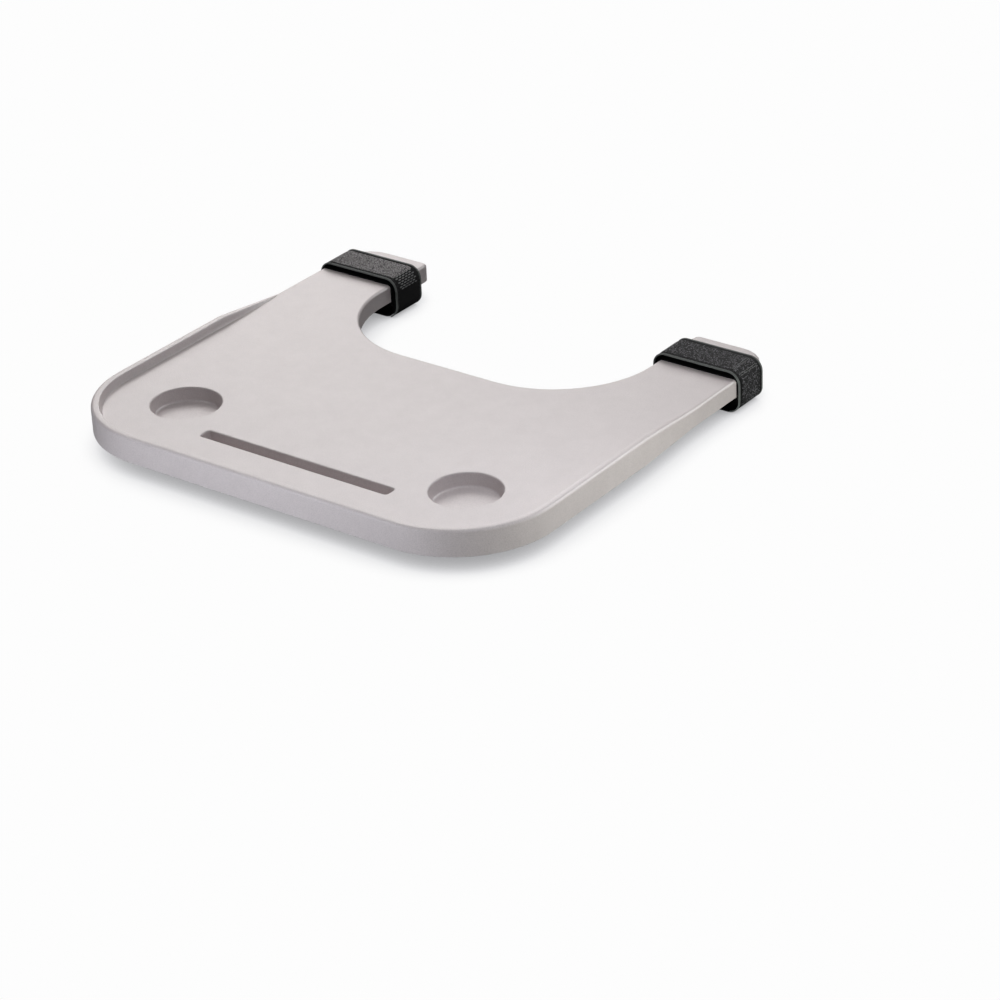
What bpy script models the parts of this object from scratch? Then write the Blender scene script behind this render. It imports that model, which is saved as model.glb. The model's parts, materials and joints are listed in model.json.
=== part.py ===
"""Lap tray for a wheelchair.

A moulded tray top with two arms, a raised rim, two cup wells and a pen slot. An inset base
panel closes it from below. A hook-and-loop strap goes round each arm and under the armrest.

Frame: +Z up, +Y towards the user (the arms), -Y the far edge with the cup wells, X across.
The origin is on the floor under the middle of the tray, with the straps' lowest runs at Z = 0.
"""
import math

import bmesh
import bpy
from mathutils import Vector

MM = 0.001

# Gap kept between pieces that touch on the real tray.
CLEARANCE = 0.3 * MM

# Tray plan: overall depth, width over the rim, and how far each arm's side stands in from it.
TRAY_DEPTH = 563.6 * MM
RIM_SPAN = 610 * MM
ARM_SET_IN = 6 * MM
FRONT_CORNER_RADIUS = 120.5 * MM
ARM_OUTER_RADIUS = 38 * MM
ARM_INNER_RADIUS = 8 * MM

# Cut-out for the user's body, open towards +Y. Its curve starts ahead of the straps.
CUTOUT_WIDTH = 390 * MM
CUTOUT_CORNER_RADIUS = 127 * MM
CURVE_FROM_STRAP = 16.4 * MM

# Tray section: height below the work surface, rim above it, wall and skin.
BODY_HEIGHT = 22 * MM
RIM_HEIGHT = 9.6 * MM
RIM_TOP_WIDTH = 8.7 * MM
RIM_SLOPE_WIDTH = 4.2 * MM
RIM_FADE_LENGTH = 103 * MM
RIM_END_FROM_STRAP = 87.2 * MM
EDGE_ROUND = 3.5 * MM
LOWER_EDGE_ROUND = 0.8 * MM
PLAIN_EDGE_STEP = 0.5 * MM
WALL = 3 * MM
SKIN = 3 * MM
GROOVE_FLOOR_WIDTH = 3 * MM
GROOVE_SLOPE_WIDTH = 3 * MM

# Cup wells and pen slot, placed from the tray's edges and from each other.
CUP_RADIUS = 40.6 * MM
CUP_DRAFT = 2.5 * MM
CUP_FROM_SIDE = 108 * MM
CUP_FROM_FRONT = 113.5 * MM
CUP_FLOOR_ROUND = 2.5 * MM
CUP_FOOT_GAP = 0.4 * MM
SLOT_END_FROM_CUP = 66 * MM
SLOT_WIDTH = 16 * MM
SLOT_FLOOR_LIFT = 3 * MM
SLOT_DRAFT = 0.8 * MM
SLOT_CORNER_RADIUS = 4 * MM
SLOT_FROM_FRONT = 67.8 * MM
SLOT_FLOOR_ROUND = 1.5 * MM
WELL_LIP_ROUND = 1.8 * MM
WELL_WALL = 2.4 * MM

# Base panel, inset in a rebate of the outer wall.
COVER_THICKNESS = 2.5 * MM
COVER_RECESS = 0.4 * MM
REBATE_WALL = 1.8 * MM

# Countersunk self-tapping screws and the bosses that take them.
SCREW_LENGTH = 12 * MM
SCREW_RADIUS = 1.8 * MM
SCREW_HEAD_RADIUS = 3.6 * MM
SCREW_HEAD_EDGE = 0.3 * MM
SCREW_TIP_LENGTH = 1.6 * MM
SCREW_TIP_RADIUS = 0.7 * MM
DRIVE_ARM = 1.9 * MM
DRIVE_HALF_WIDTH = 0.45 * MM
DRIVE_DEPTH = 1.2 * MM
BOSS_RADIUS = 4.6 * MM
BORE_SPARE_DEPTH = 1.5 * MM

# Screw places: inset from the nearest edge, and from the pad on each arm.
SCREW_INSET = 25 * MM
CORNER_SCREW_INSET = 30 * MM
ARM_SCREW_FROM_END = 13.6 * MM
ARM_SCREW_FROM_PAD = 16.4 * MM
FRONT_SCREW_SHARE = 0.56
SIDE_SCREW_SHARE = 0.74
CUTOUT_SCREW_SHARE = 0.42

# Stiffening ribs under the skin.
RIB_THICKNESS = 1.8 * MM
RIB_FOOT_GAP = 3.8 * MM
RIB_MARGIN = 14 * MM
DECK_RIB_SHARES = (0.0, 0.16, 0.36, 0.56)
ARM_RIB_INSET_SHARES = (0.22, 0.78)
ARM_RIB_FRONT_SHARE = 0.22

# Grip pads under the arms, ahead of the straps.
PAD_THICKNESS = 3 * MM
PAD_SIDE_EASE = 0.5 * MM
PAD_LENGTH = 64 * MM
PAD_CORNER_RADIUS = 6 * MM
PAD_FROM_STRAP = 2.4 * MM

# Straps: width along the arm and the place of the rear edge.
STRAP_WIDTH = 50 * MM
STRAP_FROM_ARM_END = 27.4 * MM
INNER_BAND_THICKNESS = 1.2 * MM
BAND_THICKNESS = 1.6 * MM
TAPE_THICKNESS = 0.7 * MM
TAPE_SIDE_MARGIN = 3 * MM
TAPE_END_MARGIN = 2 * MM
FLAP_HEADROOM = 5.6 * MM
ARMREST_GAP = 14.5 * MM
TOP_BEND_EASE = 3.8 * MM
BOTTOM_BEND_RADIUS = 16 * MM
FOLD_BELOW_BEND = 2 * MM
FLAP_FOOT_LIFT = 17 * MM
FOLD_SIDE_SLACK = 1.2 * MM
FASTENER_SIDE_SLACK = 2 * MM

# Facets on round stretches.
FRONT_CORNER_STEPS = 18
CUTOUT_CORNER_STEPS = 18
ARM_OUTER_STEPS = 6
ARM_INNER_STEPS = 4
SIDE_STEPS = 7
EDGE_STEPS = 4
CUP_STEPS = 48
SLOT_CORNER_STEPS = 4
LIP_STEPS = 3
BOSS_STEPS = 12
SCREW_STEPS = 12
BEND_STEPS = 6
PAD_CORNER_STEPS = 4

# Rim's inner face, from its top to the work surface: share across and share of height.
RIM_FALL_SHARES = ((0.0, 1.0), (0.22, 0.93), (0.5, 0.5), (0.78, 0.07), (1.0, 0.0))

SMOOTH_ANGLE = math.radians(32)

# Places that follow from the sizes above.
HALF_DEPTH = TRAY_DEPTH / 2
FRONT_Y = -HALF_DEPTH
ARM_END_Y = HALF_DEPTH
HALF_RIM_SPAN = RIM_SPAN / 2
HALF_ARM_SPAN = HALF_RIM_SPAN - ARM_SET_IN
HALF_CUTOUT = CUTOUT_WIDTH / 2
ARM_WIDTH = HALF_ARM_SPAN - HALF_CUTOUT
ARM_CENTRE_X = (HALF_ARM_SPAN + HALF_CUTOUT) / 2
STRAP_REAR_Y = ARM_END_Y - STRAP_FROM_ARM_END
STRAP_FRONT_Y = STRAP_REAR_Y - STRAP_WIDTH
STRAP_CENTRE_Y = (STRAP_REAR_Y + STRAP_FRONT_Y) / 2
CURVE_Y = STRAP_FRONT_Y - CURVE_FROM_STRAP
CUTOUT_Y = CURVE_Y - CUTOUT_CORNER_RADIUS
RIM_END_Y = STRAP_FRONT_Y - RIM_END_FROM_STRAP
RIM_FADE_Y = RIM_END_Y - RIM_FADE_LENGTH
PAD_WIDTH = ARM_WIDTH - 2 * (EDGE_ROUND + PAD_SIDE_EASE)
PAD_CENTRE_Y = STRAP_FRONT_Y - PAD_FROM_STRAP - PAD_LENGTH / 2
BAND_BOTTOM_Z = BAND_THICKNESS + ARMREST_GAP
PAD_BOTTOM_Z = BAND_BOTTOM_Z + INNER_BAND_THICKNESS + CLEARANCE
BASE_Z = PAD_BOTTOM_Z + PAD_THICKNESS + CLEARANCE
WORK_Z = BASE_Z + BODY_HEIGHT
COVER_Z = BASE_Z + COVER_RECESS
REBATE_HEIGHT = COVER_RECESS + COVER_THICKNESS + CLEARANCE
BOSS_END = -BODY_HEIGHT + REBATE_HEIGHT
CUP_DEPTH = BODY_HEIGHT - REBATE_HEIGHT - CUP_FOOT_GAP - WELL_WALL
SLOT_DEPTH = CUP_DEPTH - SLOT_FLOOR_LIFT
CUP_X = HALF_RIM_SPAN - CUP_FROM_SIDE
HALF_SLOT = CUP_X - SLOT_END_FROM_CUP
SLOT_Y = FRONT_Y + SLOT_FROM_FRONT
WRAP_CORNER_RADIUS = EDGE_ROUND + CLEARANCE + INNER_BAND_THICKNESS
TOP_BEND_RADIUS = WRAP_CORNER_RADIUS + FLAP_HEADROOM + BAND_THICKNESS + TOP_BEND_EASE


def clear_scene():
    """Starts from an empty scene."""
    for old in list(bpy.data.objects):
        bpy.data.objects.remove(old, do_unlink=True)


def make_material(name, colour, roughness, metallic=0.0):
    """Plain surface with the piece's own colour, given as linear red, green and blue."""
    material = bpy.data.materials.new(name)
    material.use_nodes = True
    shader = material.node_tree.nodes["Principled BSDF"]
    shader.inputs["Base Color"].default_value = (*colour, 1.0)
    shader.inputs["Roughness"].default_value = roughness
    shader.inputs["Metallic"].default_value = metallic
    return material


def finish(bm, name, material, location=(0, 0, 0)):
    """Turns a closed bmesh into a named, smooth shaded object."""
    bmesh.ops.recalc_face_normals(bm, faces=bm.faces)
    mesh = bpy.data.meshes.new(name)
    bm.to_mesh(mesh)
    bm.free()
    mesh.shade_smooth()
    mesh.set_sharp_from_angle(angle=SMOOTH_ANGLE)
    mesh.materials.append(material)
    piece = bpy.data.objects.new(name, mesh)
    piece.location = location
    bpy.context.collection.objects.link(piece)
    return piece


def mix(low, high, share):
    return low + (high - low) * share


def arc(centre_x, centre_y, radius, start, end, steps):
    """Points on an arc, both ends included. Angles are in degrees."""
    points = []
    for step in range(steps + 1):
        angle = math.radians(mix(start, end, step / steps))
        points.append((centre_x + radius * math.cos(angle), centre_y + radius * math.sin(angle)))
    return points


def circle(centre, radius, steps):
    return arc(*centre, radius, 0, 360, steps)[:-1]


def round_rectangle(centre, half_x, half_y, radius, steps):
    """Rectangle with rounded corners, anticlockwise from its right side."""
    x, y = centre
    points = arc(x + half_x - radius, y + half_y - radius, radius, 0, 90, steps)
    points += arc(x - half_x + radius, y + half_y - radius, radius, 90, 180, steps)
    points += arc(x - half_x + radius, y - half_y + radius, radius, 180, 270, steps)
    points += arc(x + half_x - radius, y - half_y + radius, radius, 270, 360, steps)
    return points


def add_ring(bm, points, z):
    return [bm.verts.new((x, y, z)) for x, y in points]


def bridge(bm, first, second):
    """Joins two closed rings of as many points with quads."""
    count = len(first)
    for index in range(count):
        after = (index + 1) % count
        bm.faces.new((first[index], first[after], second[after], second[index]))


def stack(bm, rings):
    """Joins each ring to the next and returns the first and the last."""
    for first, second in zip(rings, rings[1:]):
        bridge(bm, first, second)
    return rings[0], rings[-1]


def fill(bm, *rings):
    """Closes a flat region: the first ring is its outline and the others are its holes."""
    edges = []
    for ring in rings:
        for index, vertex in enumerate(ring):
            pair = (vertex, ring[(index + 1) % len(ring)])
            edges.append(bm.edges.get(pair) or bm.edges.new(pair))
    bmesh.ops.triangle_fill(bm, edges=edges, use_beauty=True, normal=Vector((0, 0, 1)))


def side_half_width(y):
    """Half the tray's width beside y: the rim stands a little outside the arms."""
    return mix(HALF_ARM_SPAN, HALF_RIM_SPAN, rim_share(y))


def rim_share(y):
    """1 where the rim has its full height, 0 where it has run out."""
    return min(1.0, max(0.0, (RIM_END_Y - y) / RIM_FADE_LENGTH))


def half_outline():
    """Right half of the tray's plan from the front middle to the cut-out's middle.

    Each station is a point, the direction into the material and the rim's share there.
    """
    stations = [((0.0, FRONT_Y), (0, 1), 1.0)]
    radius = FRONT_CORNER_RADIUS
    centre = (HALF_RIM_SPAN - radius, FRONT_Y + radius)
    for point in arc(*centre, radius, -90, 0, FRONT_CORNER_STEPS):
        stations.append((point, inward(point, centre, radius), 1.0))
    for step in range(SIDE_STEPS + 1):
        y = mix(RIM_FADE_Y, RIM_END_Y, step / SIDE_STEPS)
        stations.append(((side_half_width(y), y), (-1, 0), rim_share(y)))
    for corner_x, radius, angles, steps in (
        (HALF_ARM_SPAN - ARM_OUTER_RADIUS, ARM_OUTER_RADIUS, (0, 90), ARM_OUTER_STEPS),
        (HALF_CUTOUT + ARM_INNER_RADIUS, ARM_INNER_RADIUS, (90, 180), ARM_INNER_STEPS),
    ):
        centre = (corner_x, ARM_END_Y - radius)
        for point in arc(*centre, radius, *angles, steps):
            stations.append((point, inward(point, centre, radius), 0.0))
    radius = CUTOUT_CORNER_RADIUS
    centre = (HALF_CUTOUT - radius, CUTOUT_Y + radius)
    for point in arc(*centre, radius, 0, -90, CUTOUT_CORNER_STEPS):
        stations.append((point, inward(point, centre, -radius), 0.0))
    stations.append(((0.0, CUTOUT_Y), (0, -1), 0.0))
    return stations


def inward(point, centre, radius):
    """Unit direction into the material. A negative radius means a hollow corner."""
    return ((centre[0] - point[0]) / radius, (centre[1] - point[1]) / radius)


def tray_outline():
    """Stations all the way round, anticlockwise from the front middle."""
    right = half_outline()
    left = [((-x, y), (-dx, dy), share) for (x, y), (dx, dy), share in right[1:-1]]
    return right + left[::-1]


def offset_ring(bm, stations, section):
    """Ring of vertices at each station's own offset and height, from section(share)."""
    ring = []
    for (x, y), (dx, dy), share in stations:
        offset, z = section(share)
        ring.append(bm.verts.new((x + dx * offset, y + dy * offset, z)))
    return ring


def under_sections():
    """Wall's inner side from the skin's underside to the bottom edge, as offset and height."""
    groove = (WALL, WALL + GROOVE_FLOOR_WIDTH, WALL + GROOVE_FLOOR_WIDTH + GROOVE_SLOPE_WIDTH)
    lifts = (RIM_HEIGHT, RIM_HEIGHT, 0.0)
    sections = []
    for index in (2, 1, 0):
        plain = WALL + PLAIN_EDGE_STEP * index
        sections.append(
            lambda share, plain=plain, wide=groove[index], lift=lifts[index]: (
                mix(plain, wide, share),
                lift * share - SKIN,
            )
        )
    ledge = -BODY_HEIGHT + REBATE_HEIGHT
    sections.append(lambda share: (WALL, ledge))
    sections.append(lambda share: (REBATE_WALL, ledge))
    sections.append(lambda share: (REBATE_WALL, -BODY_HEIGHT))
    return sections


def outer_sections():
    """Bottom edge, outer wall, rounded top edge and the rim's inner face."""
    sections = [
        lambda share: (LOWER_EDGE_ROUND, -BODY_HEIGHT),
        lambda share: (0.0, -BODY_HEIGHT + LOWER_EDGE_ROUND),
    ]
    for step in range(EDGE_STEPS + 1):
        angle = math.radians(90) * step / EDGE_STEPS
        offset = EDGE_ROUND * (1 - math.cos(angle))
        drop = EDGE_ROUND * (1 - math.sin(angle))
        sections.append(
            lambda share, offset=offset, drop=drop: (offset, RIM_HEIGHT * share - drop)
        )
    for index, (across, height) in enumerate(RIM_FALL_SHARES):
        plain = EDGE_ROUND + PLAIN_EDGE_STEP * (index + 1)
        wide = RIM_TOP_WIDTH + RIM_SLOPE_WIDTH * across
        sections.append(
            lambda share, plain=plain, wide=wide, height=height: (
                mix(plain, wide, share),
                RIM_HEIGHT * share * height,
            )
        )
    return sections


def add_well(bm, outline, depth, draft, floor_round):
    """Well in the work surface. outline(offset) gives its plan grown by offset.

    Returns the rings that bound it on the work surface and on the skin's underside.
    """
    rings = []
    for step in range(LIP_STEPS + 1):
        angle = math.radians(90) * step / LIP_STEPS
        offset = WELL_LIP_ROUND * (1 - math.sin(angle))
        drop = WELL_LIP_ROUND * (1 - math.cos(angle))
        rings.append(add_ring(bm, outline(offset), -drop))
    rings.append(add_ring(bm, outline(-draft), -depth + floor_round))
    for step in range(1, LIP_STEPS + 1):
        angle = math.radians(90) * step / LIP_STEPS
        offset = -draft - floor_round * (1 - math.cos(angle))
        rings.append(add_ring(bm, outline(offset), -depth + floor_round * (1 - math.sin(angle))))
    top, floor = stack(bm, rings)
    fill(bm, floor)
    under, foot = stack(bm, [
        add_ring(bm, outline(WELL_WALL), -SKIN),
        add_ring(bm, outline(WELL_WALL - draft), -depth - WELL_WALL),
    ])
    fill(bm, foot)
    return top, under


def cup_outline(side):
    centre = (side * CUP_X, FRONT_Y + CUP_FROM_FRONT)
    return lambda offset: circle(centre, CUP_RADIUS + offset, CUP_STEPS)


def slot_outline(offset):
    centre = (0.0, SLOT_Y)
    half_x = HALF_SLOT + offset
    half_y = SLOT_WIDTH / 2 + offset
    radius = SLOT_CORNER_RADIUS + offset
    return round_rectangle(centre, half_x, half_y, radius, SLOT_CORNER_STEPS)


def screw_places():
    """Plan places of the screws, right and left of the middle in turn."""
    corner = FRONT_CORNER_RADIUS
    diagonal = (corner - CORNER_SCREW_INSET) * math.sqrt(0.5)
    strip = SLOT_FROM_FRONT - SLOT_WIDTH / 2
    pad_front = PAD_CENTRE_Y - PAD_LENGTH / 2
    right = (
        (HALF_RIM_SPAN - corner + diagonal, FRONT_Y + corner - diagonal),
        (FRONT_SCREW_SHARE * HALF_SLOT, FRONT_Y + strip / 2),
        (HALF_RIM_SPAN - SCREW_INSET, mix(FRONT_Y, CUTOUT_Y, SIDE_SCREW_SHARE)),
        (CUTOUT_SCREW_SHARE * HALF_CUTOUT, CUTOUT_Y - SCREW_INSET),
        (ARM_CENTRE_X, pad_front - ARM_SCREW_FROM_PAD),
        (ARM_CENTRE_X, ARM_END_Y - ARM_SCREW_FROM_END),
    )
    return [(side * x, y) for x, y in right for side in (1, -1)]


def add_boss(bm, place):
    """Round boss that hangs from the skin, with a blind bore for its screw."""
    bore = SCREW_RADIUS + CLEARANCE
    bore_top = -BODY_HEIGHT + COVER_RECESS + SCREW_LENGTH + BORE_SPARE_DEPTH
    under, end = stack(bm, [
        add_ring(bm, circle(place, BOSS_RADIUS, BOSS_STEPS), -SKIN),
        add_ring(bm, circle(place, BOSS_RADIUS, BOSS_STEPS), BOSS_END),
        add_ring(bm, circle(place, bore, BOSS_STEPS), BOSS_END),
        add_ring(bm, circle(place, bore, BOSS_STEPS), bore_top),
    ])
    fill(bm, end)
    return under


def rib_outlines():
    """Places of the ribs: across the deck front to back, and along each arm."""
    ribs = []
    deck_front = SLOT_Y + SLOT_WIDTH / 2 + RIB_MARGIN
    deck_rear = CUTOUT_Y - RIB_MARGIN
    arm_front = ARM_RIB_FRONT_SHARE * CUTOUT_Y
    arm_rear = ARM_END_Y - ARM_OUTER_RADIUS
    for side in (1, -1):
        for share in DECK_RIB_SHARES:
            if share or side == 1:
                ribs.append((side * share * HALF_CUTOUT, deck_front, deck_rear))
        for share in ARM_RIB_INSET_SHARES:
            ribs.append((side * (HALF_CUTOUT + share * ARM_WIDTH), arm_front, arm_rear))
    return ribs


def add_rib(bm, x, front, rear):
    half = RIB_THICKNESS / 2
    corners = [(x - half, front), (x + half, front), (x + half, rear), (x - half, rear)]
    under, end = stack(bm, [
        add_ring(bm, corners, -SKIN),
        add_ring(bm, corners, -BODY_HEIGHT + REBATE_HEIGHT + RIB_FOOT_GAP),
    ])
    fill(bm, end)
    return under


def make_top_shell(material):
    """Tray top: skin, rim, wells, outer wall, ribs and bosses in one moulding."""
    bm = bmesh.new()
    stations = tray_outline()
    sections = under_sections() + outer_sections()
    inner, surface = stack(bm, [offset_ring(bm, stations, section) for section in sections])
    tops = []
    unders = []
    wells = [(cup_outline(side), CUP_DEPTH, CUP_DRAFT, CUP_FLOOR_ROUND) for side in (1, -1)]
    wells.append((slot_outline, SLOT_DEPTH, SLOT_DRAFT, SLOT_FLOOR_ROUND))
    for well in wells:
        top, under = add_well(bm, *well)
        tops.append(top)
        unders.append(under)
    unders += [add_boss(bm, place) for place in screw_places()]
    unders += [add_rib(bm, *rib) for rib in rib_outlines()]
    fill(bm, surface, *tops)
    fill(bm, inner, *unders)
    return finish(bm, "top_shell", material, (0, 0, WORK_Z))


def make_bottom_cover(material):
    """Inset base panel with a countersunk hole for each screw."""
    bm = bmesh.new()
    stations = tray_outline()
    edge = REBATE_WALL + CLEARANCE
    bottom, top = stack(bm, [
        offset_ring(bm, stations, lambda share: (edge, 0.0)),
        offset_ring(bm, stations, lambda share: (edge, COVER_THICKNESS)),
    ])
    bottoms = []
    tops = []
    sink = SCREW_HEAD_RADIUS - SCREW_RADIUS
    for place in screw_places():
        wide = circle(place, SCREW_HEAD_RADIUS + CLEARANCE, SCREW_STEPS)
        narrow = circle(place, SCREW_RADIUS + CLEARANCE, SCREW_STEPS)
        lower, upper = stack(bm, [
            add_ring(bm, wide, 0.0),
            add_ring(bm, wide, SCREW_HEAD_EDGE),
            add_ring(bm, narrow, SCREW_HEAD_EDGE + sink),
            add_ring(bm, narrow, COVER_THICKNESS),
        ])
        bottoms.append(lower)
        tops.append(upper)
    fill(bm, bottom, *bottoms)
    fill(bm, top, *tops)
    return finish(bm, "bottom_cover", material, (0, 0, COVER_Z))


def drive_outline():
    """Plan of the cross recess in a screw head, anticlockwise."""
    arm = DRIVE_ARM
    half = DRIVE_HALF_WIDTH
    corner = [(half, half), (half, arm), (-half, arm)]
    points = []
    for turn in range(4):
        cos = (1, 0, -1, 0)[turn]
        sin = (0, 1, 0, -1)[turn]
        points += [(x * cos - y * sin, x * sin + y * cos) for x, y in corner]
    return points


def make_screw(name, place, material):
    """Countersunk screw, head down, with a cross recess."""
    bm = bmesh.new()
    sink = SCREW_HEAD_RADIUS - SCREW_RADIUS
    profile = (
        (SCREW_HEAD_RADIUS, 0.0),
        (SCREW_HEAD_RADIUS, SCREW_HEAD_EDGE),
        (SCREW_RADIUS, SCREW_HEAD_EDGE + sink),
        (SCREW_RADIUS, SCREW_LENGTH - SCREW_TIP_LENGTH),
        (SCREW_TIP_RADIUS, SCREW_LENGTH),
    )
    head, tip = stack(bm, [
        add_ring(bm, circle((0, 0), radius, SCREW_STEPS), z) for radius, z in profile
    ])
    mouth, floor = stack(bm, [
        add_ring(bm, drive_outline(), 0.0),
        add_ring(bm, drive_outline(), DRIVE_DEPTH),
    ])
    fill(bm, head, mouth)
    fill(bm, floor)
    fill(bm, tip)
    return finish(bm, name, material, (*place, COVER_Z))


def make_grip_pad(name, side, material):
    """Thin pad stuck under the arm, between the tray and the armrest."""
    bm = bmesh.new()
    half_x = PAD_WIDTH / 2
    half_y = PAD_LENGTH / 2
    plan = round_rectangle((0, 0), half_x, half_y, PAD_CORNER_RADIUS, PAD_CORNER_STEPS)
    bottom, top = stack(bm, [add_ring(bm, plan, 0.0), add_ring(bm, plan, PAD_THICKNESS)])
    fill(bm, bottom)
    fill(bm, top)
    return finish(bm, name, material, (side * ARM_CENTRE_X, PAD_CENTRE_Y, PAD_BOTTOM_Z))


def make_band(name, side, outer, inner, width, material, closed=False):
    """Flat band of even width round an arm, between an outer and an inner line."""
    bm = bmesh.new()
    rings = []
    for (outer_x, outer_z), (inner_x, inner_z) in zip(outer, inner):
        rings.append([
            bm.verts.new((side * outer_x, -width / 2, outer_z)),
            bm.verts.new((side * outer_x, width / 2, outer_z)),
            bm.verts.new((side * inner_x, width / 2, inner_z)),
            bm.verts.new((side * inner_x, -width / 2, inner_z)),
        ])
    stack(bm, rings)
    if closed:
        bridge(bm, rings[-1], rings[0])
    else:
        bm.faces.new(rings[0])
        bm.faces.new(rings[-1])
    return finish(bm, name, material, (side * ARM_CENTRE_X, STRAP_CENTRE_Y, 0))


class Strap:
    """Places of a strap's layers across the arm, measured outwards from the arm's middle.

    The outer side of the arm holds the fold that the flap opens on. The inner side, towards
    the cut-out, holds the fastener.
    """

    def __init__(self):
        half_arm = ARM_WIDTH / 2
        self.wrap_inside = half_arm + CLEARANCE
        self.wrap_outside = self.wrap_inside + INNER_BAND_THICKNESS
        self.fold_outside = self.wrap_outside + FOLD_SIDE_SLACK + BAND_THICKNESS
        self.band_outside = self.wrap_outside + FASTENER_SIDE_SLACK + BAND_THICKNESS
        self.loop_outside = self.band_outside + CLEARANCE + TAPE_THICKNESS
        self.hook_outside = self.loop_outside + CLEARANCE + TAPE_THICKNESS
        self.flap_outside = self.hook_outside + CLEARANCE + BAND_THICKNESS
        self.wrap_top = WORK_Z + CLEARANCE + INNER_BAND_THICKNESS
        self.flap_top = self.wrap_top + FLAP_HEADROOM + BAND_THICKNESS
        self.hinge_z = self.flap_top - TOP_BEND_RADIUS - FOLD_BELOW_BEND
        self.foot_z = FLAP_FOOT_LIFT
        self.straight_end = self.flap_top - TOP_BEND_RADIUS
        self.tape_top = self.straight_end - TAPE_END_MARGIN
        self.tape_low = self.foot_z + TAPE_END_MARGIN

    def wrap_line(self, inset):
        """Closed line of the inner band, inset from its outer face."""
        half_x = self.wrap_outside - inset
        low = BAND_BOTTOM_Z + inset
        high = self.wrap_top - inset
        radius = WRAP_CORNER_RADIUS - inset
        centre = (0, (low + high) / 2)
        return round_rectangle(centre, half_x, (high - low) / 2, radius, BEND_STEPS)

    def band_line(self, inset):
        """Fixed run: down the outer side, under the armrest space and up the inner side."""
        bend = BOTTOM_BEND_RADIUS
        radius = bend - inset
        line = [(self.fold_outside - inset, self.hinge_z)]
        line += arc(self.fold_outside - bend, bend, radius, 0, -90, BEND_STEPS)
        line += arc(bend - self.band_outside, bend, radius, -90, -180, BEND_STEPS)
        line.append((inset - self.band_outside, self.straight_end))
        return line

    def flap_line(self, inset):
        """Free run: from the fold over the top and down the inner side."""
        bend = TOP_BEND_RADIUS
        radius = bend - inset
        line = [(self.fold_outside - inset, self.hinge_z + CLEARANCE)]
        line += arc(self.fold_outside - bend, self.flap_top - bend, radius, 0, 90, BEND_STEPS)
        line += arc(bend - self.flap_outside, self.flap_top - bend, radius, 90, 180, BEND_STEPS)
        line.append((inset - self.flap_outside, self.foot_z))
        return line

    def tape_line(self, outside, inset):
        """Short straight tape on the inner side."""
        x = inset - outside
        return [(x, self.tape_top), (x, self.tape_low)]


def make_strap(side_name, side, materials):
    """All the layers of one strap, each its own piece."""
    strap = Strap()
    tape_width = STRAP_WIDTH - 2 * TAPE_SIDE_MARGIN
    web, loop, hook = materials
    make_band(
        side_name + "_inner_band", side, strap.wrap_line(0), strap.wrap_line(INNER_BAND_THICKNESS),
        STRAP_WIDTH, web, closed=True,
    )
    make_band(
        side_name + "_outer_band", side, strap.band_line(0), strap.band_line(BAND_THICKNESS),
        STRAP_WIDTH, web,
    )
    make_band(
        side_name + "_flap", side, strap.flap_line(0), strap.flap_line(BAND_THICKNESS),
        STRAP_WIDTH, web,
    )
    for suffix, outside, material in (
        ("_loop_tape", strap.loop_outside, loop),
        ("_hook_tape", strap.hook_outside, hook),
    ):
        make_band(
            side_name + suffix, side, strap.tape_line(outside, 0),
            strap.tape_line(outside, TAPE_THICKNESS), tape_width, material,
        )


def main():
    clear_scene()
    shell = make_material("pale_abs", (0.65, 0.62, 0.61), 0.42)
    cover = make_material("grey_abs", (0.55, 0.53, 0.52), 0.5)
    steel = make_material("zinc_steel", (0.6, 0.6, 0.6), 0.35, 1.0)
    rubber = make_material("black_rubber", (0.02, 0.02, 0.022), 0.85)
    web = make_material("black_web", (0.02, 0.02, 0.021), 0.8)
    loop = make_material("loop_pile", (0.03, 0.03, 0.031), 0.95)
    hook = make_material("hook_tape", (0.015, 0.015, 0.016), 0.6)
    make_top_shell(shell)
    make_bottom_cover(cover)
    for number, place in enumerate(screw_places(), 1):
        make_screw(f"screw_{number:02d}", place, steel)
    for side_name, side in (("left", -1), ("right", 1)):
        make_grip_pad(side_name + "_grip_pad", side, rubber)
        make_strap(side_name, side, (web, loop, hook))


main()
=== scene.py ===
"""Looks of a lap tray with a strap round each arm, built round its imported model.

A pale moulded top with a satin grain, an inset base panel, ribbed grip pads, and the straps: a
thin wrap on the arm, a web that hangs round below it, and a brushed flap that folds over it.
"""

import json
import math

import bpy
from mathutils import Matrix, Vector

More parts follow.
